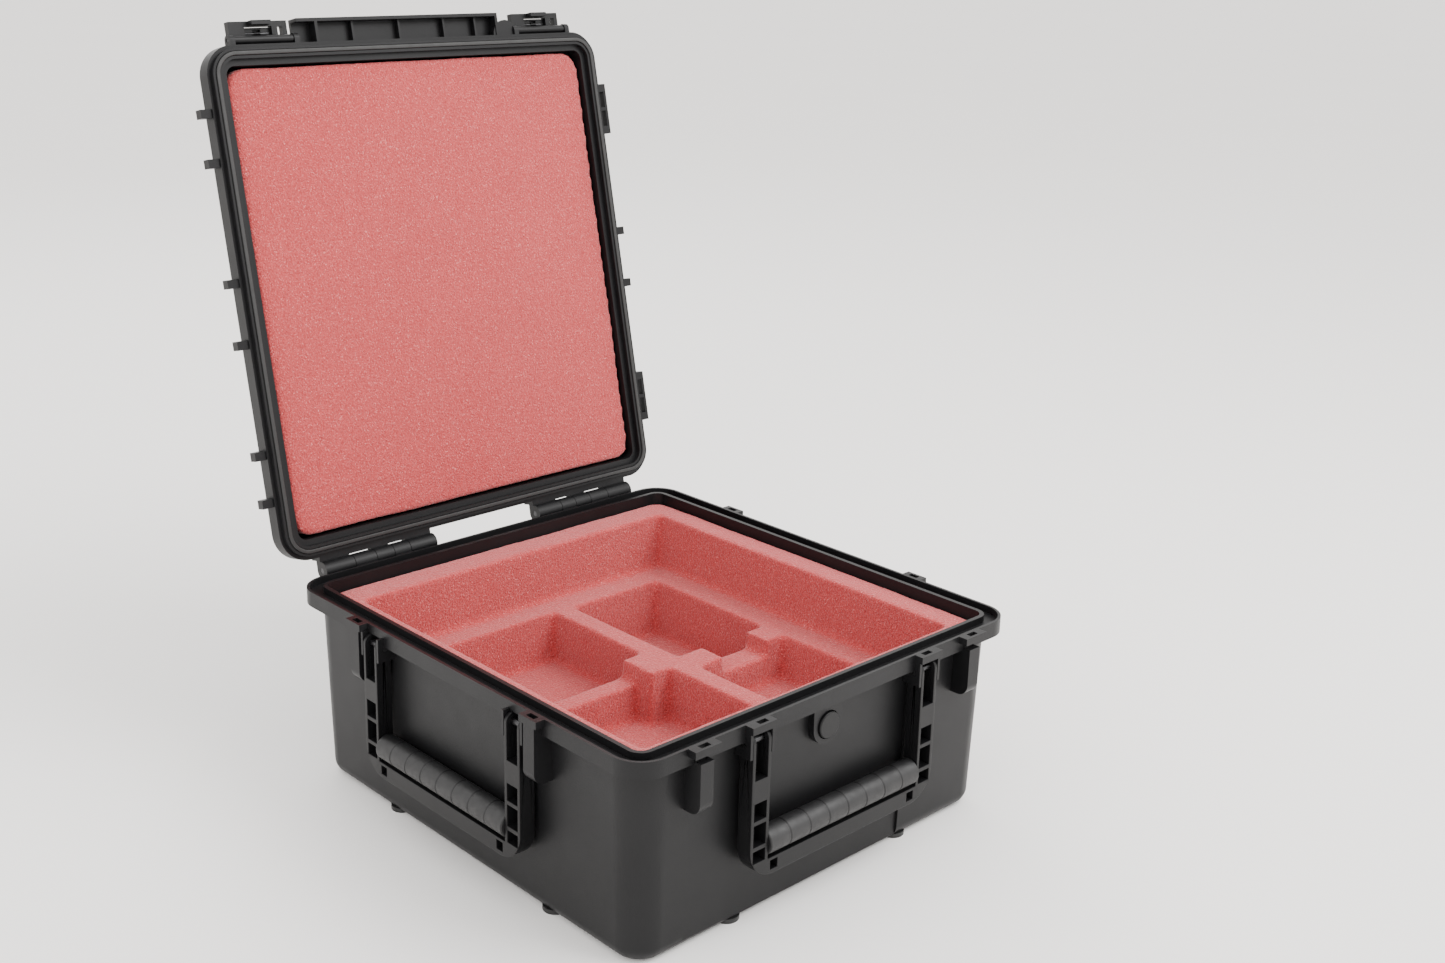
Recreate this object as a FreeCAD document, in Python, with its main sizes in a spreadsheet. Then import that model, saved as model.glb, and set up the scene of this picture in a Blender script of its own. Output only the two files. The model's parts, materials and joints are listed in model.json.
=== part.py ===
import FreeCAD, Part
import math
import os

from FreeCAD import Placement, Rotation, Vector
import Sketcher

doc = FreeCAD.newDocument("utility_case")

# ---------------------------------------------------------------- driving dimensions (mm, degrees)
# +X runs along the front, the front faces -Y, the hinge is at the back, and z = 0 is the ground.
DIMENSIONS = {
    # rim, shared by the base and the lid
    "rim_width": 495.0,
    "rim_depth": 525.0,
    "rim_height": 203.0,
    "rim_radius": 31.0,
    "rim_gap": 0.3,
    "flange_depth": 16.0,
    "flange_overhang": 11.0,
    "lip_inset": 21.0,
    "channel_outer_inset": 3.0,
    "channel_inner_inset": 16.5,
    "channel_depth": 7.0,
    # base tub
    "wall": 5.0,
    "foot_rise": 0.0,
    "body_radius": 34.0,
    "base_taper": 6.0,
    "bottom_fillet": 15.0,
    # lid
    "lid_depth": 48.0,
    "lid_taper": 5.0,
    "lid_fillet": 13.0,
    "open_angle": 102.5,
    "tongue_drop": 5.5,
    # hinge at the back
    "hinge_y": 277.0,
    "hinge_z": 201.5,
    "knuckle_radius": 9.5,
    "hinge_pin_radius": 3.0,
    "running_clearance": 0.06,
    "knuckle_gap": 0.6,
    # foam
    "foam_inset": 22.0,
    "foam_top": 192.0,
    "mid_level": 129.0,
    "foam_radius": 18.0,
    "lid_foam_inset": 23.5,
    "lid_foam_recess": 5.0,
    # carrying handles
    "handle_half_span": 122.0,
    "handle_arm_width": 22.0,
    "handle_proud": 7.0,
    "handle_thickness": 16.5,
    "handle_pivot_z": 185.0,
    "handle_bottom_z": 53.0,
    "handle_corner": 30.0,
    "handle_rib": 3.5,
    "side_shift": 5.0,
    "handle_pin_radius": 3.0,
    "handle_bar_height": 16.0,
    "grip_radius": 12.6,
    "grip_core_radius": 6.5,
    "grip_z": 83.0,
    "grip_ribs": 8.0,
    # front latches
    "latch_centre": 177.0,
    "latch_span": 79.0,
    "latch_ear": 6.0,
    "latch_pin_y": 267.5,
    "latch_pin_z": 210.0,
    "latch_pin_radius": 2.0,
    "latch_barrel_radius": 4.5,
    "latch_plate_thickness": 7.5,
    "latch_drop": 19.5,
    "latch_swing": 90.0,
    "trigger_width": 30.0,
    # pressure valve
    "valve_x": -13.0,
    "valve_z": 165.0,
    "valve_radius": 13.0,
}

sheet = doc.addObject("Spreadsheet::Sheet", "dims")
for row, (alias, number) in enumerate(DIMENSIONS.items(), start=1):
    sheet.set("A%d" % row, alias)
    sheet.set("B%d" % row, str(number))
    sheet.setAlias("B%d" % row, alias)
doc.recompute()

FRONT, BACK, LEFT, RIGHT = "front", "back", "left", "right"
NODES = []


def dim(alias):
    """The value of one cell of the sheet."""
    return float(sheet.get(alias))


def formula(text):
    """An expression in which every word that is an alias refers to the sheet."""
    words = []
    word = ""
    for letter in text + " ":
        if letter.isalnum() or letter == "_":
            word += letter
            continue
        words.append("dims." + word if word in DIMENSIONS else word)
        words.append(letter)
        word = ""
    return "".join(words).strip()


def value(text):
    """The number that a formula gives with the sheet's present values."""
    return float(sheet.evalExpression(formula(text).replace("dims.", "")))


def bind(obj, prop, text):
    obj.setExpression(prop, formula(str(text)))


def node(obj, name):
    """Keep an object as a sub-part that is written to its own file."""
    obj.Label = name
    NODES.append(obj)
    return obj


# ---------------------------------------------------------------- small builders
def place(text):
    """A point given as three formulas or numbers."""
    return Vector(*(value(str(part)) for part in text))


def box(name, size, at):
    """A box with its low corner at `at`; sizes and places are formulas or numbers."""
    obj = doc.addObject("Part::Box", name)
    for prop, text in zip(("Length", "Width", "Height"), size):
        bind(obj, prop, text)
    obj.Placement = Placement(place(at), Rotation())
    return obj


def rod(name, radius, length, at, along="x"):
    """A cylinder that starts at `at` and runs in the direction of a row axis."""
    obj = doc.addObject("Part::Cylinder", name)
    bind(obj, "Radius", radius)
    bind(obj, "Height", length)
    turn = {"x": Rotation(Vector(0, 1, 0), 90), "y": Rotation(Vector(1, 0, 0), -90), "z": Rotation()}
    obj.Placement = Placement(place(at), turn[along])
    return obj


def fuse(name, shapes):
    obj = doc.addObject("Part::MultiFuse", name)
    obj.Shapes = shapes
    obj.Refine = True
    return obj


def cut(name, base, tools):
    obj = doc.addObject("Part::Cut", name)
    obj.Base = base
    obj.Tool = tools[0] if len(tools) == 1 else fuse(name + "_tools", tools)
    obj.Refine = True
    return obj


def origin_plane(body, role):
    return next(feature for feature in body.Origin.OriginFeatures if feature.Role == role)


def rounded_outline(sketch, tag, width, depth, radius):
    """A rectangle with round corners about the sketch's origin, bound to three formulas."""
    half_w, half_d, r = value(width) / 2, value(depth) / 2, value(radius)
    first = sketch.GeometryCount
    corners = ((1, -1, 270), (1, 1, 0), (-1, 1, 90), (-1, -1, 180))
    ends = []
    for sx, sy, start in corners:
        centre = Vector(sx * (half_w - r), sy * (half_d - r), 0)
        circle = Part.Circle(centre, Vector(0, 0, 1), r)
        arc = Part.ArcOfCircle(circle, math.radians(start), math.radians(start + 90))
        sketch.addGeometry(arc, False)
        ends.append((arc.StartPoint, arc.EndPoint))
    for k in range(4):
        sketch.addGeometry(Part.LineSegment(ends[k][1], ends[(k + 1) % 4][0]), False)
    add = sketch.addConstraint
    for k in range(4):
        arc, line, following = first + k, first + 4 + k, first + (k + 1) % 4
        add(Sketcher.Constraint("Tangent", arc, 2, line, 1))
        add(Sketcher.Constraint("Tangent", line, 2, following, 1))
        add(Sketcher.Constraint("Vertical" if k % 2 == 0 else "Horizontal", line))
    for k in range(1, 4):
        add(Sketcher.Constraint("Equal", first, first + k))
    add(Sketcher.Constraint("Symmetric", first + 1, 3, first + 3, 3, -1, 1))
    for label, kind, args, text in (
        ("radius", "Radius", (first, r), radius),
        ("width", "DistanceX", (first + 3, 1, first, 2, 2 * half_w), width),
        ("depth", "DistanceY", (first, 1, first + 1, 2, 2 * half_d), depth),
    ):
        index = add(Sketcher.Constraint(kind, *args))
        sketch.renameConstraint(index, tag + "_" + label)
        bind(sketch, "Constraints." + tag + "_" + label, text)


def outline_sketch(body, name, outlines, z):
    """A sketch at height z that holds one or more round-cornered rectangles."""
    sketch = body.newObject("Sketcher::SketchObject", name)
    sketch.AttachmentSupport = [(origin_plane(body, "XY_Plane"), "")]
    sketch.MapMode = "FlatFace"
    bind(sketch, "AttachmentOffset.Base.z", z)
    for k, (width, depth, radius) in enumerate(outlines):
        rounded_outline(sketch, "outline%d" % k, width, depth, radius)
    return sketch


def loft(body, kind, name, lower, upper):
    """A straight loft, additive or subtractive, between two outlines at two heights."""
    sketches = [
        outline_sketch(body, name + "_low", [lower[:3]], lower[3]),
        outline_sketch(body, name + "_high", [upper[:3]], upper[3]),
    ]
    doc.recompute()
    feature = body.newObject("PartDesign::" + kind, name)
    feature.Profile = sketches[0]
    feature.Sections = [sketches[1]]
    feature.Ruled = True
    doc.recompute()
    return feature


def pad(body, name, outlines, z, height):
    sketch = outline_sketch(body, name + "_sketch", outlines, z)
    feature = body.newObject("PartDesign::Pad", name)
    feature.Profile = sketch
    bind(feature, "Length", height)
    doc.recompute()
    return feature


def pocket_up(body, name, outlines, z, height):
    """Take material away from height z upwards."""
    sketch = outline_sketch(body, name + "_sketch", outlines, z)
    feature = body.newObject("PartDesign::Pocket", name)
    feature.Profile = sketch
    feature.Reversed = True
    bind(feature, "Length", height)
    before = body.Shape.Volume
    doc.recompute()
    assert body.Shape.Volume < before - 1.0, name + " cuts nothing"
    return feature


def fillet_level(body, name, base, z, radius):
    """Round every edge of the outline that lies flat at height z."""
    level = value(z)
    edges = []
    for number, edge in enumerate(base.Shape.Edges, start=1):
        bounds = edge.BoundBox
        if abs(bounds.ZMin - level) < 0.01 and abs(bounds.ZMax - level) < 0.01:
            edges.append("Edge%d" % number)
    feature = body.newObject("PartDesign::Fillet", name)
    feature.Base = (base, edges)
    bind(feature, "Radius", radius)
    doc.recompute()
    return feature


def inset(amount, radius="rim_radius"):
    """The rim's outline moved inwards by a formula."""
    return (
        "rim_width - 2 * (%s)" % amount,
        "rim_depth - 2 * (%s)" % amount,
        "%s - (%s)" % (radius, amount),
    )


# ---------------------------------------------------------------- placing
def turned(y, z, pivot_y, pivot_z, angle):
    """A point turned about a line along X; a positive angle swings the lid up and back."""
    c, s = math.cos(math.radians(angle)), math.sin(math.radians(angle))
    out, up = y - pivot_y, z - pivot_z
    return (pivot_y + out * c + up * s, pivot_z - out * s + up * c)


def swing(placement, pivot_y, pivot_z, angle):
    """A placement turned about a line along X through the pivot."""
    y, z = turned(0, 0, pivot_y, pivot_z, angle)
    return Placement(Vector(0, y, z), Rotation(Vector(1, 0, 0), -angle)).multiply(placement)


def open_with_lid(obj):
    """Carry a piece that is drawn with the lid closed to where the open lid holds it."""
    obj.Placement = swing(obj.Placement, dim("hinge_y"), dim("hinge_z"), dim("open_angle"))


def open_with_latch(obj):
    """Swing a piece of the closed latch up about the latch pin, then back with the lid."""
    obj.Placement = swing(obj.Placement, -dim("latch_pin_y"), dim("latch_pin_z"), dim("latch_swing"))
    open_with_lid(obj)


def face_placement(face):
    """Carry what is drawn on the front face to another face, keeping its distance from the rim."""
    shift = (dim("rim_depth") - dim("rim_width")) / 2
    along = Vector(0, dim("side_shift"), 0) if face in (LEFT, RIGHT) else Vector()
    turn = {FRONT: 0, LEFT: -90, RIGHT: 90, BACK: 180}[face]
    rotation = Rotation(Vector(0, 0, 1), turn)
    slide = Vector(0, shift, 0) if face in (LEFT, RIGHT) else Vector()
    return Placement(rotation.multVec(slide) + along, rotation)


FACES = (FRONT, LEFT, RIGHT)
SIDES = (("a", -1), ("b", 1))
RIM_Y = "rim_depth / 2"
LUG_TOP = "rim_height - 7"
HANDLE_FRONT_Y = "rim_depth / 2 + handle_proud"
PIVOT_Y = "rim_depth / 2 + handle_proud - handle_thickness / 2"
ARM_INNER = "handle_half_span - handle_arm_width"
VALVE_WALL_Y = "rim_depth / 2 - flange_overhang - 0.7"


# ---------------------------------------------------------------- base shell
def hasp_centre(face):
    """How far the outer rim lugs of a face stand from its middle."""
    return dim("latch_centre") if face == FRONT else 136.0


def rim_lug(tag, middle, half_width, hole_middle, hole_half):
    """A flat plate that stands out at the rim, with an upright rectangular hole."""
    plate_at = (middle - half_width, "-(%s) - 9.5" % RIM_Y, LUG_TOP)
    plate = box(tag + "_plate", (2 * half_width, 12, 7), plate_at)
    low = (hole_middle - hole_half, "-(%s) - 6.5" % RIM_Y, "rim_height - 14")
    hole = box(tag + "_hole", (2 * hole_half, 5.5, 20), low)
    return plate, hole


def lug_fin(tag, middle):
    """The narrow fin under an outer lug, with a round lower front corner."""
    half, drop, radius = 7.5, 56.0, 12.0
    left = middle - half
    front, low = "-(%s) - 8" % RIM_Y, "%s - %g" % (LUG_TOP, drop)
    inner, step = "%s + %g" % (front, radius), "%s + %g" % (low, radius)
    upper = box(tag + "_upper", (2 * half, 23.5, drop - radius), (left, front, step))
    lower = box(tag + "_lower", (2 * half, 23.5 - radius, radius + 1), (left, inner, low))
    corner = rod(tag + "_corner", radius, 2 * half, (left, inner, step))
    return [upper, lower, corner]


def handle_ears(tag, side):
    """Two ears that hold one arm of a carrying handle at its pin."""
    ears = []
    for name, low in (("outer", "handle_half_span + 0.6"), ("inner", ARM_INNER + " - 3.6")):
        x = low if side > 0 else "-(%s) - 3" % low
        at = (x, "-(%s)" % HANDLE_FRONT_Y, "%s - 24" % LUG_TOP)
        ears.append(box(tag + name, (3, "handle_thickness + 4", 24), at))
    return ears


def face_fittings(face):
    """The lugs, fins and handle brackets of one face, and the holes in them."""
    adds, cuts = [], []
    for letter, side in SIDES:
        tag = face + "_" + letter
        outer = side * hasp_centre(face)
        plate, hole = rim_lug(tag + "_hasp", outer, 15.0 if face == FRONT else 12.0, outer, 5.5)
        bore_at = (side * 111.0 - 15, "-(%s)" % PIVOT_Y, "handle_pivot_z")
        bore = rod(tag + "_bore", "handle_pin_radius", 30, bore_at)
        relief_at = (side * 111.0 - 11.6, "-(%s)" % PIVOT_Y, "handle_pivot_z")
        relief = rod(tag + "_relief", "handle_thickness / 2 + 0.8", 23.2, relief_at)
        adds += [plate] + lug_fin(tag + "_fin", outer) + handle_ears(tag + "_ear_", side)
        cuts += [hole, bore, relief]
        if face == FRONT:
            cap, cap_hole = rim_lug(tag + "_cap", side * 111.0, 14.6, side * 109.0, 5.5)
            catch_at = (outer - 12, "-(%s) - 9.8" % RIM_Y, "%s - 7" % LUG_TOP)
            catch = box(tag + "_catch", (24, 8, 7), catch_at)
            adds.append(cap)
            cuts += [cap_hole, catch]
    for obj in adds + cuts:
        obj.Placement = face_placement(face).multiply(obj.Placement)
    return adds, cuts


def hinge_spans(owner):
    """The stretches along X of the hinge knuckles that the base or the lid carries."""
    spans = {
        "base": ((103.5, 123.5), (146.0, 171.5)),
        "lid": ((70.0, 102.9), (124.1, 145.4), (172.1, 207.0)),
    }
    return [(low if side > 0 else -high, high - low) for side in (-1, 1) for low, high in spans[owner]]


def hinge_knuckles(owner):
    """Round knuckles at the hinge line with arms that reach to the rim's flange."""
    below = owner == "base"
    arm_z = "hinge_z - knuckle_radius" if below else "rim_height + rim_gap"
    arm_height = "knuckle_radius" if below else "knuckle_radius - 2"
    solids = []
    for k, (start, length) in enumerate(hinge_spans(owner)):
        tag = "%s_knuckle_%d" % (owner, k)
        solids.append(rod(tag, "knuckle_radius", length, (start, "hinge_y", "hinge_z")))
        arm_size = (length, "hinge_y - rim_depth / 2 + 3", arm_height)
        solids.append(box(tag + "_arm", arm_size, (start, "rim_depth / 2 - 3", arm_z)))
    return solids


def hinge_webs():
    """Strips on the lid's flange that close the gap in front of the knuckles."""
    size = (137, "hinge_y - knuckle_radius - knuckle_gap - rim_depth / 2 + 3", "flange_depth")
    at = [(side, "rim_depth / 2 - 3", "rim_height + rim_gap") for side in (-207, 70)]
    return [box("hinge_web_%d" % k, size, low) for k, low in enumerate(at)]


def hinge_bores(owner):
    """Bores for the two hinge pins; the pins are fixed in the base and turn in the lid."""
    radius = "hinge_pin_radius" if owner == "base" else "hinge_pin_radius + running_clearance"
    return [rod("%s_pin_bore_%d" % (owner, side), radius, 150, (side * 139 - 75, "hinge_y", "hinge_z"))
            for side in (-1, 1)]


def panel_steps(face):
    """Two shallow steps in the tapered wall, wide then narrow, as one cutting tool."""
    rise = dim("rim_height") - dim("flange_depth") - dim("foot_rise")
    lean = math.degrees(math.atan(dim("base_taper") / rise))
    slabs = []
    right = 104.0
    for name, half, depth in (("wide", 178.0, 1.2), ("narrow", 126.0, 2.4)):
        slab = doc.addObject("Part::Box", "%s_step_%s" % (face, name))
        bind(slab, "Length", half + right)
        bind(slab, "Width", 30)
        bind(slab, "Height", "rim_height - flange_depth + 20")
        wall = -value("rim_depth / 2 - flange_overhang")
        top = Vector(-half, wall + depth, value("rim_height - flange_depth - 1.5"))
        spin = Rotation(Vector(1, 0, 0), lean)
        low = top - spin.multVec(Vector(0, 30, dim("rim_height") - dim("flange_depth") + 20))
        slab.Placement = face_placement(face).multiply(Placement(low, spin))
        slabs.append(slab)
    return slabs


def foot_places():
    """The eight places on the ground where the edge feet stand."""
    half_x = value("rim_width / 2 - flange_overhang - base_taper - 12.5")
    half_y = value("rim_depth / 2 - flange_overhang - base_taper - 12.5")
    along_x, along_y = 113.0, 121.0
    places = [(sx * along_x, sy * half_y) for sx in (-1, 1) for sy in (-1, 1)]
    return places + [(sx * half_x, sy * along_y) for sx in (-1, 1) for sy in (-1, 1)]


def foot_cylinders(tag, radius, low, height):
    return [rod("%s_%d" % (tag, k), radius, height, (x, y, low), "z")
            for k, (x, y) in enumerate(foot_places())]


def valve_boss():
    """The U-shaped collar that hangs from the flange around the pressure valve, and its holes."""
    front = "-(%s) - 5" % VALVE_WALL_Y
    top = "rim_height - flange_depth - valve_z + 1"
    collar = rod("valve_collar", "valve_radius + 6", 8, ("valve_x", front, "valve_z"), "y")
    neck_at = ("valve_x - valve_radius - 6", front, "valve_z")
    neck = box("valve_neck", ("2 * valve_radius + 12", 8, top), neck_at)
    room = rod("valve_room", "valve_radius + 0.8", 5, ("valve_x", front, "valve_z"), "y")
    bore = rod("valve_bore", 8, 20, ("valve_x", front, "valve_z"), "y")
    return [collar, neck], [room, bore]


def build_base_tub():
    """The moulded tub: tapered walls, a deep flange, an inner lip and the channel for the seal."""
    body = doc.addObject("PartDesign::Body", "base_tub")
    wall_top = "rim_height - flange_depth"
    width, depth = "rim_width - 2 * flange_overhang", "rim_depth - 2 * flange_overhang"
    lean = " - 2 * base_taper"
    floor = (width + lean, depth + lean, "body_radius - base_taper", "foot_rise")
    outer = loft(body, "AdditiveLoft", "tub_wall", floor, (width, depth, "body_radius", wall_top))
    fillet_level(body, "tub_bottom_round", outer, "foot_rise", "bottom_fillet")
    pad(body, "tub_flange", [inset("0")], wall_top, "flange_depth")
    thin = " - 2 * wall"
    room_low = (floor[0] + thin, floor[1] + thin, "body_radius - base_taper - wall", "foot_rise + wall")
    room_high = (width + thin, depth + thin, "body_radius - wall", "rim_height - 18")
    room = loft(body, "SubtractiveLoft", "tub_room", room_low, room_high)
    fillet_level(body, "tub_room_round", room, "foot_rise + wall", "bottom_fillet - 3")
    pocket_up(body, "tub_mouth", [inset("lip_inset")], "rim_height - 18.5", 20)
    rings = [inset("channel_outer_inset"), inset("channel_inner_inset")]
    pocket_up(body, "seal_channel", rings, "rim_height - channel_depth", "channel_depth + 1")
    return body


def build_base_shell():
    tub = build_base_tub()
    stepped = cut("stepped_tub", tub, panel_steps(FRONT) + panel_steps(BACK))
    adds, cuts = valve_boss()
    for face in FACES:
        face_adds, face_cuts = face_fittings(face)
        adds += face_adds
        cuts += face_cuts
    adds += hinge_knuckles("base")
    cuts += hinge_bores("base") + foot_cylinders("foot_seat", 12, -1, 5.5)
    return node(cut("base_shell_solid", fuse("base_with_fittings", [stepped] + adds), cuts), "base_shell")


def build_feet():
    feet = fuse("edge_feet_solids", foot_cylinders("foot", 12, 0, 4.5))
    return node(feet, "edge_feet")


# ---------------------------------------------------------------- lid
LID_PLANE = "rim_height + rim_gap"


def build_lid_cap():
    """The moulded lid, drawn closed: flange, shallow dished top, and two tongues for the seal."""
    body = doc.addObject("PartDesign::Body", "lid_cap")
    wall_low = LID_PLANE + " + flange_depth"
    lid_top = LID_PLANE + " + lid_depth"
    width, depth = "rim_width - 2 * flange_overhang", "rim_depth - 2 * flange_overhang"
    crown = (width + " - 2 * lid_taper", depth + " - 2 * lid_taper", "body_radius", lid_top)
    pad(body, "lid_flange", [inset("0")], LID_PLANE, "flange_depth")
    walls = loft(body, "AdditiveLoft", "lid_wall", (width, depth, "body_radius", wall_low), crown)
    fillet_level(body, "lid_top_round", walls, lid_top, "lid_fillet")
    thin = " - 2 * wall"
    room_high = (crown[0] + thin, crown[1] + thin, "body_radius - wall", lid_top + " - wall")
    room_low = (width + thin, depth + thin, "body_radius - wall", LID_PLANE + " + 18")
    room = loft(body, "SubtractiveLoft", "lid_room", room_low, room_high)
    fillet_level(body, "lid_room_round", room, lid_top + " - wall", "lid_fillet - 3")
    pocket_up(body, "lid_mouth", [inset("lip_inset")], LID_PLANE + " - 1", 19.5)
    for name, outer, inner in (("outer_tongue", "4", "6.5"), ("inner_tongue", "11.5", "14.5")):
        pad(body, name, [inset(outer), inset(inner)], LID_PLANE + " - tongue_drop", "tongue_drop")
    return body


def visor():
    """A hollow brow that stands out from the front of the lid, above the flange, with small ribs."""
    left, right, reach, plate = 138.0, 117.0, 25.0, 4.0
    front = "-(%s) - %g" % (RIM_Y, reach)
    low = LID_PLANE + " + 3"
    shelf_at = (-left, front, LID_PLANE + " + flange_depth - 1")
    shelf = box("visor_shelf", (left + right, reach + 14, plate), shelf_at)
    brow = box("visor_brow", (left + right, 3.5, "flange_depth - 2"), (-left, front, low))
    ends = [box("visor_end_%d" % k, (3.5, reach + 1, "flange_depth - 2"), (x, front, low))
            for k, x in enumerate((-117.0, right - 3.5))]
    ribs = [box("visor_rib_%d" % k, (2.5, reach + 1, 7), (x, front, LID_PLANE + " + flange_depth - 7.5"))
            for k, x in enumerate((-70.0, -12.0, 46.0, 88.0))]
    lobe = rod("brow_lobe", 17, 5, (127, "-(%s)" % RIM_Y, LID_PLANE + " + 4"), "z")
    return [shelf, brow, lobe] + ends + ribs


def latch_ears(side):
    """Two ears on the lid's flange that hold one latch pin."""
    ears = []
    block = ("latch_ear", "latch_pin_y - rim_depth / 2 + 3", "2 * latch_barrel_radius + 2")
    lows = ("latch_centre - latch_span / 2", "latch_centre + latch_span / 2 - latch_ear")
    for k, low in enumerate(lows):
        tag = "latch_ear_%d_%d" % (side, k)
        x = low if side > 0 else "-(%s) - latch_ear" % low
        at = (x, "-latch_pin_y", "latch_pin_z - latch_barrel_radius - 1")
        ears.append(box(tag, block, at))
        nose_at = (x, "-latch_pin_y", "latch_pin_z")
        ears.append(rod(tag + "_nose", "latch_barrel_radius + 1", "latch_ear", nose_at))
    return ears


def side_ribs(side):
    """Pairs of short ribs on the lid's flange; on the right the end pairs are tied by a bar."""
    solids = []
    reach, low = 13.0, LID_PLANE + " + 2"
    x = "rim_width / 2 - 1" if side > 0 else "-rim_width / 2 - %g + 1" % reach
    for k, (y_low, y_high, tied) in enumerate(((-201, -143, True), (-32, 39, False), (143, 201, True))):
        for end, y in (("low", y_low), ("high", y_high - 9)):
            solids.append(box("rib_%d_%d_%s" % (side, k, end), (reach, 9, 10), (x, y, low)))
        if tied and side > 0:
            bar_x = "rim_width / 2 + %g" % (reach - 4.5)
            solids.append(box("rib_bar_%d_%d" % (side, k), (3.5, y_high - y_low, 10), (bar_x, y_low, low)))
            middle = (y_low + y_high) / 2 - 2
            solids.append(box("rib_mid_%d_%d" % (side, k), (reach - 1, 4, 10), (x, middle, low)))
    return solids


def build_lid_shell():
    adds = [build_lid_cap()] + visor() + hinge_knuckles("lid") + hinge_webs()
    for side in (-1, 1):
        adds += latch_ears(side) + side_ribs(side)
    cuts = hinge_bores("lid")
    for side in (-1, 1):
        start = side * dim("latch_centre") - 45
        bore_at = (start, "-latch_pin_y", "latch_pin_z")
        cuts.append(rod("latch_pin_bore_%d" % side, "latch_pin_radius", 90, bore_at))
    shell = cut("lid_shell_solid", fuse("lid_with_fittings", adds), cuts)
    open_with_lid(shell)
    return node(shell, "lid_shell")


def build_lid_seal():
    """The seal strip that sits between the lid's two tongues."""
    body = doc.addObject("PartDesign::Body", "lid_seal_body")
    low = "rim_height - channel_depth + 0.3"
    pad(body, "seal_strip", [inset("7"), inset("11")], low, "channel_depth + rim_gap - 0.3")
    open_with_lid(body)
    return node(body, "lid_seal")


# ---------------------------------------------------------------- foam
def foam_outline(amount):
    return ("rim_width - 2 * (%s)" % amount, "rim_depth - 2 * (%s)" % amount, "foam_radius")


def foam_block(name, amount, low, high, pockets):
    """A block of foam with pockets cut down into it; a pocket is x, y low and high, and its floor."""
    body = doc.addObject("PartDesign::Body", name + "_block")
    pad(body, name + "_slab", [foam_outline(amount)], low, "(%s) - (%s)" % (high, low))
    if not pockets:
        return node(body, name)
    cuts = []
    for k, (x_low, x_high, y_low, y_high, floor) in enumerate(pockets):
        size = (x_high - x_low, y_high - y_low, "(%s) - (%s) + 1" % (high, floor))
        cuts.append(box("%s_pocket_%d" % (name, k), size, (x_low, y_low, floor)))
    return node(cut(name + "_solid", body, cuts), name)


# The four pockets and the two low bridges between them, seen from above.
POCKETS = {
    "back_left": (-175, 15, 33, 173, 73),
    "back_right": (40, 161, 1, 170, 65),
    "front_left": (-175, 15, -195, -14, 71),
    "front_left_step": (-175, -10, -14.5, 8, 71),
    "left_bridge": (-175, -10, 7.5, 33.5, 110),
    "front_right": (40, 161, -195, -32, 80),
    "right_bridge": (74, 137, -32.5, 1.5, 111),
}


def build_foam():
    pad_top = 55.0
    foam_block("foam_bottom_pad", "foam_inset + 10", "foot_rise + wall + 0.5", pad_top, [])
    foam_block("foam_pocket_tray", "foam_inset + 3.5", pad_top, "mid_level", list(POCKETS.values()))
    recess = (-204, 196, -220, 204, "mid_level - 1")
    foam_block("foam_upper_frame", "foam_inset", "mid_level", "foam_top", [recess])
    lid_low = LID_PLANE + " + lid_foam_recess"
    lid_high = LID_PLANE + " + lid_depth - wall - 12"
    slab = foam_block("foam_lid_slab", "lid_foam_inset", lid_low, lid_high, [])
    open_with_lid(slab)


# ---------------------------------------------------------------- hinge pins
def build_hinge_pins():
    for name, side in ((LEFT, -1), (RIGHT, 1)):
        start = -206.8 if side < 0 else 70.2
        pin = rod("hinge_rod_" + name, "hinge_pin_radius", 136.6, (start, "hinge_y", "hinge_z"))
        node(pin, "hinge_pin_" + name)


# ---------------------------------------------------------------- carrying handles
def handle_windows():
    """Open cells in the front of both arms, and a hole near each lower corner."""
    cells = []
    room = "handle_arm_width - 2 * handle_rib"
    front = "-(%s) - 1" % HANDLE_FRONT_Y
    for letter, side in SIDES:
        x = ARM_INNER + " + handle_rib" if side > 0 else "-handle_half_span + handle_rib"
        for k, (low, high) in enumerate(((150, 200), (111, 128), (86, 107), (70, 82))):
            size = (room, "handle_thickness - 2", high - low)
            cells.append(box("cell_%s_%d" % (letter, k), size, (x, front, low)))
        corner = side * 92.0 - 4.5
        cells.append(box("corner_cell_" + letter, (9, 30, 9), (corner, front, 57)))
    return cells


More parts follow.
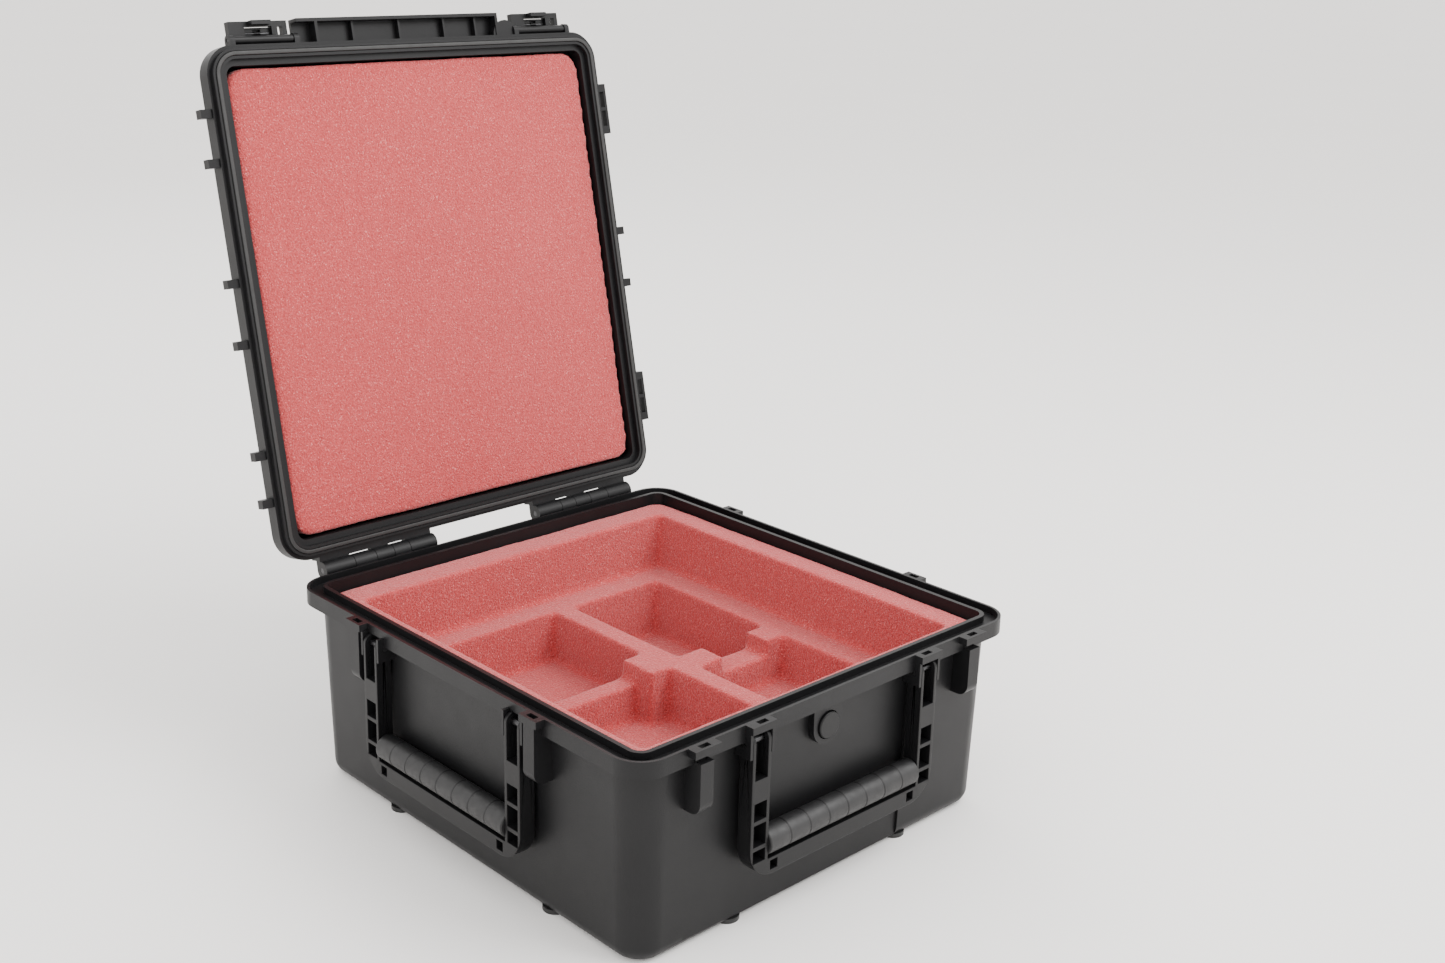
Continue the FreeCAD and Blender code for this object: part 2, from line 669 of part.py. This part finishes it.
def build_handle(face):
    """The stiff handle frame: two arms, a bottom bar and a core for the grip."""
    front, back = "-(%s)" % HANDLE_FRONT_Y, "handle_thickness"
    corner_z = "handle_bottom_z + handle_corner"
    wide_rise = "handle_pivot_z - handle_bottom_z - handle_corner"
    wide = box("handle_wide", ("2 * handle_half_span", back, wide_rise),
               ("-handle_half_span", front, corner_z))
    low = box("handle_low", ("2 * (handle_half_span - handle_corner)", back, "handle_corner + 1"),
              ("-(handle_half_span - handle_corner)", front, "handle_bottom_z"))
    room = "handle_arm_width - 2 * handle_rib"
    rounds, heads, bores = [], [], []
    for letter, side in SIDES:
        x = value("handle_half_span - handle_corner") * side
        rounds.append(rod("handle_round_" + letter, "handle_corner", back, (x, front, corner_z), "y"))
        start = ARM_INNER if side > 0 else "-handle_half_span"
        at = (start, "-(%s)" % PIVOT_Y, "handle_pivot_z")
        heads.append(rod("handle_head_" + letter, "handle_thickness / 2", "handle_arm_width", at))
        gap_at = (start + " + handle_rib", "-(%s) - 1" % HANDLE_FRONT_Y, 150)
        bores.append(box("handle_gap_" + letter, (room, "handle_thickness - 2", 50), gap_at))
        loose = "handle_pin_radius + running_clearance"
        bores.append(rod("handle_bore_" + letter, loose, "handle_arm_width", at))
    inside = box("handle_inside", ("2 * (%s)" % ARM_INNER, "handle_thickness + 2", 200),
                 ("-(%s)" % ARM_INNER, front + " - 1", "handle_bottom_z + handle_bar_height"))
    frame = cut("handle_hoop", fuse("handle_blank", [wide, low] + rounds), [inside] + handle_windows())
    core_at = ("-(%s) - 1" % ARM_INNER, "-(%s)" % PIVOT_Y, "grip_z")
    core = rod("handle_core", "grip_core_radius", "2 * (%s) + 2" % ARM_INNER, core_at)
    solid = cut("handle_%s_solid" % face, fuse("handle_%s_all" % face, [frame, core] + heads), bores)
    solid.Placement = face_placement(face)
    return node(solid, "handle_frame_" + face)


def build_grip(face):
    """The soft grip over the core, with raised rings."""
    half = value(ARM_INNER) - 0.3
    count = int(dim("grip_ribs"))
    y = "-(%s)" % PIVOT_Y
    sleeve = rod("grip_sleeve", "grip_radius - 0.8", 2 * half, (-half, y, "grip_z"))
    pitch = 2 * half / count
    rings = [rod("grip_ring_%d" % k, "grip_radius", pitch - 1.6, (-half + pitch * k + 0.8, y, "grip_z"))
             for k in range(count)]
    hole = rod("grip_hole", "grip_core_radius", 2 * half + 2, (-half - 1, y, "grip_z"))
    solid = cut("grip_%s_solid" % face, fuse("grip_%s_all" % face, [sleeve] + rings), [hole])
    solid.Placement = face_placement(face)
    return node(solid, "handle_grip_" + face)


def build_handle_pins(face):
    pins = []
    for letter, side in SIDES:
        at = (side * 111.0 - 14.4, "-(%s)" % PIVOT_Y, "handle_pivot_z")
        pins.append(rod("handle_pin_rod_" + letter, "handle_pin_radius", 28.8, at))
    pair = doc.addObject("Part::Compound", "handle_pins_" + face + "_pair")
    pair.Links = pins
    pair.Placement = face_placement(face)
    return node(pair, "handle_pins_" + face)


# ---------------------------------------------------------------- front latches
def build_latch(name, side):
    """One latch: barrels on the pin, a ribbed plate, a hook, its release trigger, pins and spring."""
    middle = side * dim("latch_centre")
    inner_half = value("latch_span / 2 - latch_ear - 0.5")
    pin_y, pin_z = -dim("latch_pin_y"), dim("latch_pin_z")
    plate_y = pin_y - 13.5
    thick = dim("latch_plate_thickness")
    low_z = pin_z - dim("latch_drop")
    plate = box("latch_plate", (2 * inner_half, "latch_plate_thickness", "latch_drop + latch_barrel_radius"),
                (middle - inner_half, plate_y, low_z))
    window_at = (middle - value("trigger_width / 2 + 0.5"), plate_y - 1, low_z + 5.2)
    window = box("latch_window", ("trigger_width + 1", thick + 2, 13.5), window_at)
    slot = box("latch_slot", (6, thick + 2, 12), (middle + 22, plate_y - 1, low_z + 6))
    hook = box("latch_hook", (22, 8.6, 4.2), (middle - 11, plate_y + thick - 0.1, low_z))
    barrel = rod("latch_barrel", "latch_barrel_radius", 2 * inner_half, (middle - inner_half, pin_y, pin_z))
    web = box("latch_web", (2 * inner_half, 8, 7), (middle - inner_half, plate_y + thick - 1, pin_z - 2.5))
    bore = rod("latch_bore", "latch_pin_radius + running_clearance", 90, (middle - 45, pin_y, pin_z))
    trigger_y, trigger_z = plate_y + 2.2, low_z + 12
    pin_bore = rod("trigger_pin_seat", 1.25, 38, (middle - 19, trigger_y, trigger_z))
    blank = fuse("latch_%s_all" % name, [plate, hook, barrel, web])
    lever = cut("latch_%s_solid" % name, blank, [window, bore, pin_bore, slot])
    node(lever, "latch_lever_" + name)
    rod_blank = rod("latch_rod_" + name, "latch_pin_radius", 78, (middle - 39, pin_y, pin_z))
    pin = node(rod_blank, "latch_pin_" + name)
    left = middle - dim("trigger_width") / 2
    tongue = box("trigger_tongue", ("trigger_width", 4, 12), (left, plate_y - 1, low_z + 6))
    grip_bar = box("trigger_bar", ("trigger_width", 2, 3), (left, plate_y - 2.5, low_z + 6))
    room = box("trigger_spring_room", (9, 10, 8), (middle - 4.5, trigger_y - 2.6, trigger_z - 4))
    hole = rod("trigger_hole", 1.3, 40, (middle - 20, trigger_y, trigger_z))
    blank = fuse("trigger_%s_all" % name, [tongue, grip_bar])
    trigger = cut("trigger_%s_solid" % name, blank, [room, hole])
    node(trigger, "latch_trigger_" + name)
    thin_rod = rod("trigger_rod_" + name, 1.25, 36, (middle - 18, trigger_y, trigger_z))
    trigger_pin = node(thin_rod, "trigger_pin_" + name)
    coils = [rod("spring_turn_%d" % k, 2.3, 1.2, (middle - 3.7 + 1.55 * k, trigger_y, trigger_z))
             for k in range(5)]
    sleeve = rod("spring_sleeve", 2.0, 7.4, (middle - 3.7, trigger_y, trigger_z))
    eye = rod("spring_eye", 1.3, 12, (middle - 6, trigger_y, trigger_z))
    wound = fuse("trigger_spring_%s_all" % name, [sleeve] + coils)
    spring = cut("trigger_spring_%s_solid" % name, wound, [eye])
    node(spring, "trigger_spring_" + name)
    for obj in (lever, trigger, trigger_pin, spring):
        open_with_latch(obj)
    open_with_lid(pin)


# ---------------------------------------------------------------- pressure valve
def build_valve():
    """A vent through the front wall: body, seal ring, membrane, cap and the nut inside."""
    x, z = "valve_x", "valve_z"
    wall = -value(VALVE_WALL_Y)
    flange = rod("valve_flange", "valve_radius - 1", 2.5, (x, wall - 2.6, z), "y")
    stem = rod("valve_stem", 7.9, 10.4, (x, wall - 1, z), "y")
    vent = rod("valve_vent", 4, 30, (x, wall - 10, z), "y")
    groove = rod("valve_groove", 10.6, 1.2, (x, wall - 1.3, z), "y")
    groove_core = rod("valve_groove_core", 8.4, 1.2, (x, wall - 1.3, z), "y")
    gland = cut("valve_groove_ring", groove, [groove_core])
    body = cut("valve_body_solid", fuse("valve_body_all", [flange, stem]), [vent, gland])
    node(body, "valve_body")
    disc = rod("valve_ring_disc", 10.5, 1.1, (x, wall - 1.25, z), "y")
    ring = cut("valve_ring_solid", disc, [rod("valve_ring_eye", 8.5, 4, (x, wall - 3, z), "y")])
    node(ring, "valve_seal_ring")
    node(rod("valve_sheet", 8, 0.4, (x, wall - 3.05, z), "y"), "valve_membrane")
    cap = rod("valve_cap_disc", "valve_radius", 5, (x, wall - 7.6, z), "y")
    cap_round = doc.addObject("Part::Fillet", "valve_cap_round")
    doc.recompute()
    cap_round.Base = cap
    cap_round.Edges = [(k + 1, 1.5, 1.5) for k, edge in enumerate(cap.Shape.Edges)
                       if edge.BoundBox.YMax < wall - 7.5]
    cap_room = rod("valve_cap_room", 10, 1.4, (x, wall - 3.8, z), "y")
    node(cut("valve_cap_solid", cap_round, [cap_room]), "valve_cap")
    blank = doc.addObject("Part::Prism", "valve_nut_blank")
    blank.Polygon = 6
    bind(blank, "Circumradius", 13)
    bind(blank, "Height", 3.6)
    inner = wall + dim("wall") + 0.7
    blank.Placement = Placement(Vector(value(x), inner, value(z)), Rotation(Vector(1, 0, 0), -90))
    nut_eye = rod("valve_nut_eye", 7.95, 10, (x, inner - 2, z), "y")
    node(cut("valve_nut_solid", blank, [nut_eye]), "valve_nut")


# ---------------------------------------------------------------- everything
build_base_shell()
build_feet()
build_lid_shell()
build_lid_seal()
build_foam()
build_hinge_pins()
for face in FACES:
    build_handle(face)
    build_grip(face)
    build_handle_pins(face)
for name, side in ((LEFT, -1), (RIGHT, 1)):
    build_latch(name, side)
build_valve()
doc.recompute()

bad = [obj for obj in doc.Objects if "Invalid" in obj.State or "Error" in obj.State]
for obj in bad:
    print(obj.Name, obj.State, obj.getStatusString())
if bad:
    raise RuntimeError("%d objects did not compute" % len(bad))

os.makedirs("parts", exist_ok=True)
for obj in NODES:
    shape = obj.Shape
    if shape.isNull() or not shape.isValid() or not shape.Solids:
        raise RuntimeError(obj.Label + " has no valid shape")
    shape.exportStep(os.path.join("parts", obj.Label + ".step"))
    print("%-24s solids %d  volume %.1f cm3" % (obj.Label, len(shape.Solids), shape.Volume / 1000))
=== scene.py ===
import json
import math

import bpy
import numpy as np
from mathutils import Matrix, Vector, noise


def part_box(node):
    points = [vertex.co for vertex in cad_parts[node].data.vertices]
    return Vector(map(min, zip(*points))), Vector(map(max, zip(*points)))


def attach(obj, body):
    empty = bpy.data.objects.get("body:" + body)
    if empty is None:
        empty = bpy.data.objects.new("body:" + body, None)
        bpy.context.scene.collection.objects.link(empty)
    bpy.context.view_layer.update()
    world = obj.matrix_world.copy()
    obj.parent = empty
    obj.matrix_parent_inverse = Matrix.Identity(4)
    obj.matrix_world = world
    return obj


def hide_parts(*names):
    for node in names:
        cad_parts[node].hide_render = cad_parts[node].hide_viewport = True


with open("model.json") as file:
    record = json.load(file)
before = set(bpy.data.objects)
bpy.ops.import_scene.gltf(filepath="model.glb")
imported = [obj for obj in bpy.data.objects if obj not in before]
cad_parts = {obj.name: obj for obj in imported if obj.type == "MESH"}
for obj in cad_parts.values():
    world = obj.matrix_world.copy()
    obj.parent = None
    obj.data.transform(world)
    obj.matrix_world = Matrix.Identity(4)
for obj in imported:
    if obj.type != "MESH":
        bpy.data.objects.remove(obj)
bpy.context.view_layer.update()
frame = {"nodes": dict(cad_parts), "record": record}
NODES = frame["nodes"]
scene = bpy.context.scene


# ---------------------------------------------------------------- materials
class Paint:
    """A small helper that adds nodes to one material and links them."""

    def __init__(self, name):
        self.material = bpy.data.materials.new(name)
        self.material.use_nodes = True
        self.tree = self.material.node_tree
        self.shader = self.tree.nodes["Principled BSDF"]
        self.coords = self.tree.nodes.new("ShaderNodeTexCoord").outputs["Object"]

    def add(self, kind, **inputs):
        made = self.tree.nodes.new(kind)
        for key, value in inputs.items():
            socket = made.inputs[key.replace("_", " ")]
            if isinstance(value, bpy.types.NodeSocket):
                self.tree.links.new(value, socket)
            else:
                socket.default_value = value
        return made

    def noise(self, scale, detail=2.0, rough=0.5):
        made = self.add("ShaderNodeTexNoise", Vector=self.coords, Scale=scale, Detail=detail, Roughness=rough)
        return made.outputs["Fac"]

    def cells(self, scale):
        return self.add("ShaderNodeTexVoronoi", Vector=self.coords, Scale=scale).outputs["Distance"]

    def band(self, value, low, high, out_low, out_high):
        made = self.tree.nodes.new("ShaderNodeMapRange")
        self.tree.links.new(value, made.inputs["Value"])
        limits = {"From Min": low, "From Max": high, "To Min": out_low, "To Max": out_high}
        for key, number in limits.items():
            made.inputs[key].default_value = number
        return made.outputs["Result"]

    def mix(self, factor, first, second):
        made = self.tree.nodes.new("ShaderNodeMix")
        made.data_type = "RGBA"
        factor_socket, first_socket, second_socket = made.inputs[0], made.inputs[6], made.inputs[7]
        for socket, value in ((factor_socket, factor), (first_socket, first), (second_socket, second)):
            if isinstance(value, bpy.types.NodeSocket):
                self.tree.links.new(value, socket)
            else:
                socket.default_value = value if isinstance(value, float) else (*value, 1.0)
        return made.outputs[2]

    def bump(self, height, distance, strength=1.0, normal=None):
        made = self.add("ShaderNodeBump", Height=height, Distance=distance, Strength=strength)
        if normal is not None:
            self.tree.links.new(normal, made.inputs["Normal"])
        return made.outputs["Normal"]

    def wire(self, socket, value):
        self.tree.links.new(value, self.shader.inputs[socket])


def moulded(name, dark, light, rough, grain, grain_depth):
    """Moulded polymer: fine grain, cloudy sheen, and paler edges that are partly rubbed wear and partly
    painted highlight.
    """
    paint = Paint(name)
    clouds = paint.noise(9.0, 3.0)
    fine = paint.noise(grain, 2.0)
    tone = paint.mix(paint.band(clouds, 0.35, 0.65, 0.0, 1.0), dark, light)
    # painted highlight: edges found by pointiness are lightened, partly rubbed wear and partly a painted
    # highlight on the edge fillets, broken up by noise
    edge = paint.add("ShaderNodeNewGeometry").outputs["Pointiness"]
    scuff_and_highlight_breakup = paint.band(paint.noise(70.0, 4.0), 0.45, 0.75, 0.15, 1.0)
    wear_and_painted_highlight = paint.add("ShaderNodeMath").outputs[0]
    wear_and_painted_highlight.node.operation = "MULTIPLY"
    paint.tree.links.new(paint.band(edge, 0.52, 0.62, 0.0, 0.35), wear_and_painted_highlight.node.inputs[0])
    paint.tree.links.new(scuff_and_highlight_breakup, wear_and_painted_highlight.node.inputs[1])
    paint.wire("Base Color", paint.mix(wear_and_painted_highlight, tone, tuple(3.2 * c for c in light)))
    paint.wire("Roughness", paint.band(paint.noise(35.0, 3.0), 0.3, 0.7, rough - 0.02, rough + 0.03))
    paint.wire("Normal", paint.bump(fine, grain_depth))
    paint.shader.inputs["Specular IOR Level"].default_value = 0.22
    return paint.material


def rubber(name, tone, rough):
    paint = Paint(name)
    paint.wire("Base Color", paint.mix(paint.noise(40.0, 3.0), tone, tuple(1.7 * c for c in tone)))
    paint.wire("Roughness", paint.band(paint.noise(120.0), 0.3, 0.7, rough - 0.06, rough + 0.08))
    paint.wire("Normal", paint.bump(paint.noise(1500.0), 0.00012))
    return paint.material


def steel(name):
    paint = Paint(name)
    along_x = (4.0, 900.0, 900.0)
    stretch = paint.add("ShaderNodeMapping", Vector=paint.coords, Scale=along_x).outputs["Vector"]
    lines = paint.add("ShaderNodeTexNoise", Vector=stretch, Scale=1.0, Detail=2.0).outputs["Fac"]
    paint.wire("Base Color", paint.mix(lines, (0.05, 0.05, 0.052), (0.09, 0.09, 0.093)))
    paint.wire("Roughness", paint.band(lines, 0.3, 0.7, 0.25, 0.42))
    paint.shader.inputs["Metallic"].default_value = 1.0
    return paint.material


def open_cell_foam(name, deep, pale, painted_glint):
    """Open-cell foam: painted glints as bright cell rims, and dark pores of about two millimetres, with soft
    blotches.
    """
    paint = Paint(name)
    pores = paint.cells(430.0)
    speck = paint.noise(520.0, 3.0, 0.65)
    blotch = paint.band(paint.noise(11.0, 3.0), 0.3, 0.7, 0.0, 1.0)
    ground = paint.mix(paint.band(speck, 0.3, 0.7, 0.0, 1.0), deep, pale)
    cloudy = paint.mix(paint.band(blotch, 0.0, 1.0, 0.0, 0.16), ground, deep)
    # painted highlight: small bright specks of painted glint on the cell rims
    painted_glint_mask = paint.band(paint.noise(640.0, 2.0, 0.6), 0.58, 0.74, 0.0, 0.75)
    paint.wire("Base Color", paint.mix(painted_glint_mask, cloudy, painted_glint))
    coarse = paint.bump(pores, 0.0011, 0.8)
    paint.wire("Normal", paint.bump(speck, 0.0012, 0.9, coarse))
    paint.shader.inputs["Roughness"].default_value = 0.92
    paint.shader.inputs["Sheen Weight"].default_value = 0.25
    paint.shader.inputs["Sheen Roughness"].default_value = 0.5
    paint.shader.inputs["Specular IOR Level"].default_value = 0.2
    return paint.material


def membrane_cloth(name):
    paint = Paint(name)
    weave = paint.cells(2600.0)
    paint.wire("Base Color", paint.mix(weave, (0.45, 0.45, 0.44), (0.66, 0.66, 0.64)))
    paint.wire("Normal", paint.bump(weave, 0.0001))
    paint.shader.inputs["Roughness"].default_value = 0.8
    return paint.material


SHELL = moulded("shell_polymer", dark=(0.0050, 0.0050, 0.0056), light=(0.0068, 0.0068, 0.0074),
                rough=0.42, grain=950.0, grain_depth=0.00010)
FITTING = moulded("fitting_polymer", dark=(0.0045, 0.0045, 0.0050), light=(0.0062, 0.0062, 0.0067),
                  rough=0.38, grain=1300.0, grain_depth=0.00006)
GRIP = rubber("grip_rubber", (0.0050, 0.0050, 0.0054), 0.50)
SEAL = rubber("seal_rubber", (0.008, 0.008, 0.008), 0.5)
STEEL = steel("pin_steel")
FOAM = open_cell_foam("foam_pink", (0.34, 0.030, 0.032), (0.56, 0.082, 0.082), (0.88, 0.30, 0.29))
CLOTH = membrane_cloth("vent_membrane")
BY_SLOT = {
    "shell": SHELL,
    "handle_polymer": FITTING,
    "latch_polymer": FITTING,
    "valve_polymer": FITTING,
    "grip_rubber": GRIP,
    "foot_rubber": SEAL,
    "seal_rubber": SEAL,
    "pin_steel": STEEL,
    "membrane": CLOTH,
    "foam": FOAM,
}
BEVELS = {
    "base_shell": 0.9,
    "lid_shell": 0.9,
    "handle_frame": 0.9,
    "handle_grip": 0.5,
    "edge_feet": 1.0,
    "lid_seal": 0.7,
}
SMALL_BEVEL = 0.25
SHARP_ANGLE = math.radians(32)


def bevel_width(node):
    """The edge rounding of one sub-part, in metres."""
    return next((mm for start, mm in BEVELS.items() if node.startswith(start)), SMALL_BEVEL) / 1000


def finish_node(obj, material, width):
    """Gives a carried-over part its material and small rounded edges."""
    obj.data.materials.clear()
    obj.data.materials.append(material)
    for face in obj.data.polygons:
        face.use_smooth = True
    weld = obj.modifiers.new("weld", "WELD")
    weld.merge_threshold = 1e-5
    bevel = obj.modifiers.new("round_edges", "BEVEL")
    bevel.width = width
    bevel.segments = 2
    bevel.limit_method = "ANGLE"
    bevel.angle_limit = SHARP_ANGLE
    bevel.use_clamp_overlap = True
    bevel.harden_normals = False
    shading = obj.modifiers.new("even_shading", "WEIGHTED_NORMAL")
    shading.keep_sharp = False
    shading.weight = 60


for entry in frame["record"]["subparts"]:
    finish_node(NODES[entry["node"]], BY_SLOT[entry["material_slot"]], bevel_width(entry["node"]))


# ---------------------------------------------------------------- foam
def applied(obj):
    """A new mesh with the object's modifiers applied."""
    view = bpy.context.evaluated_depsgraph_get()
    return bpy.data.meshes.new_from_object(obj.evaluated_get(view))


def joined_copy(nodes, name):
    """Working copies of the plain solids of several foam nodes; the first takes in the others."""
    parts = []
    for k, node in enumerate(nodes):
        part = bpy.data.objects.new("%s_work_%d" % (name, k), NODES[node].data.copy())
        scene.collection.objects.link(part)
        parts.append(part)
    for other in parts[1:]:
        union = parts[0].modifiers.new("union", "BOOLEAN")
        union.operation = "UNION"
        union.object = other
    return parts


def uneven(mesh):
    """Pushes the vertices a little along their normals, so that cut foam doesn't look machined."""
    count = len(mesh.vertices)
    place = np.empty(3 * count)
    facing = np.empty(3 * count, dtype=np.float32)
    mesh.vertices.foreach_get("co", place)
    mesh.vertex_normals.foreach_get("vector", facing)
    place = place.reshape(-1, 3)
    spots = [Vector(spot) for spot in place]
    grain = [noise.noise(spot * 170) * 0.00035 for spot in spots]
    swell = [noise.noise(spot * 14) * 0.0009 for spot in spots]
    push = np.array(grain) + np.array(swell)
    moved = place + facing.reshape(-1, 3) * push[:, None]
    mesh.vertices.foreach_set("co", moved.ravel())
    mesh.polygons.foreach_set("use_smooth", [True] * len(mesh.polygons))
    mesh.update()


def soften(nodes, name, body, voxel, roll):
    """Replaces plain foam solids with one soft-edged mesh whose faces are slightly uneven."""
    parts = joined_copy(nodes, name)
    work = parts[0]
    remesh = work.modifiers.new("remesh", "REMESH")
    remesh.mode = "VOXEL"
    remesh.voxel_size = voxel
    smooth = work.modifiers.new("smooth", "SMOOTH")
    smooth.factor = 0.5
    smooth.iterations = roll
    bpy.context.view_layer.update()
    mesh = applied(work)
    for part in parts:
        bpy.data.objects.remove(part)
    uneven(mesh)
    mesh.materials.clear()
    mesh.materials.append(FOAM)
    piece = bpy.data.objects.new(name, mesh)
    scene.collection.objects.link(piece)
    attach(piece, body)
    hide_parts(*nodes)


soften(("foam_bottom_pad", "foam_pocket_tray", "foam_upper_frame"), "soft_base_foam", "base", 0.0028, 7)
soften(("foam_lid_slab",), "soft_lid_slab", "lid", 0.0035, 5)


# ---------------------------------------------------------------- trigger springs
def coil_spring(node, name, body):
    """A wound wire spring in place of the plain ribbed sleeve."""
    low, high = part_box(node)
    centre = (low + high) / 2
    length = high.x - low.x
    wire, turns, steps = 0.00042, 5.5, 88
    radius = 0.0019
    curve = bpy.data.curves.new(name, "CURVE")
    curve.dimensions = "3D"
    curve.bevel_depth = wire
    curve.bevel_resolution = 3
    spline = curve.splines.new("POLY")
    spline.points.add(steps)
    for k in range(steps + 1):
        along = low.x + wire + (length - 2 * wire) * k / steps
        angle = 2 * math.pi * turns * k / steps
        out, up = radius * math.cos(angle), radius * math.sin(angle)
        spline.points[k].co = (along, centre.y + out, centre.z + up, 1)
    curve.materials.append(STEEL)
    piece = bpy.data.objects.new(name, curve)
    scene.collection.objects.link(piece)
    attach(piece, body)
    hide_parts(node)


coil_spring("trigger_spring_left", "wound_spring_left", "latch_left")
coil_spring("trigger_spring_right", "wound_spring_right", "latch_right")


# ---------------------------------------------------------------- floor, lights, camera
def pale_floor():
    mesh = bpy.data.meshes.new("studio_floor")
    reach = 60.0
    corners = [(-reach, -reach, 0), (reach, -reach, 0), (reach, reach, 0), (-reach, reach, 0)]
    mesh.from_pydata(corners, [], [(0, 1, 2, 3)])
    paint = Paint("floor_paper")
    paint.wire("Base Color", paint.mix(paint.noise(1.2), (0.90, 0.885, 0.87), (0.92, 0.905, 0.89)))
    paint.shader.inputs["Roughness"].default_value = 0.9
    mesh.materials.append(paint.material)
    floor = bpy.data.objects.new("studio_floor", mesh)
    scene.collection.objects.link(floor)


def soft_light(name, place, target, size, power, tint=(1.0, 1.0, 1.0)):
    data = bpy.data.lights.new(name, "AREA")
    data.shape = "RECTANGLE"
    data.size, data.size_y = size
    data.energy = power
    data.color = tint
    light = bpy.data.objects.new(name, data)
    light.location = place
    light.rotation_mode = "QUATERNION"
    light.rotation_quaternion = (Vector(target) - Vector(place)).to_track_quat("-Z", "Y")
    scene.collection.objects.link(light)


def pale_world():
    world = bpy.data.worlds.new("studio_air")
    world.use_nodes = True
    ground = world.node_tree.nodes["Background"]
    ground.inputs["Color"].default_value = (1.0, 0.982, 0.965, 1)
    ground.inputs["Strength"].default_value = 2.0
    scene.world = world


def photo_camera():
    """The camera's place, its view direction and its small roll."""
    data = bpy.data.cameras.new("camera")
    data.lens = 43.314
    data.sensor_width = 36
    data.shift_x, data.shift_y = 0.01, -0.06
    data.clip_start, data.clip_end = 0.05, 200
    camera = bpy.data.objects.new("camera", data)
    camera.rotation_mode = "QUATERNION"
    camera.location = (-1.084, -1.2062, 0.8666)
    forward = Vector((0.66689, 0.69535, -0.26786))
    roll = Matrix.Rotation(math.radians(1.361), 3, "Z")
    level = forward.to_track_quat("-Z", "Y").to_matrix()
    camera.rotation_quaternion = (level @ roll).to_quaternion()
    scene.collection.objects.link(camera)
    scene.camera = camera


pale_floor()
pale_world()
soft_light("key_light", (1.2, -1.8, 2.6), (0, 0, 0.2), (2.0, 2.0), 95)
soft_light("fill_light", (-2.6, -0.6, 1.6), (0, 0, 0.3), (1.6, 1.6), 18)
soft_light("back_light", (0.6, 2.6, 2.4), (0, 0, 0.2), (2.4, 1.4), 30)
photo_camera()
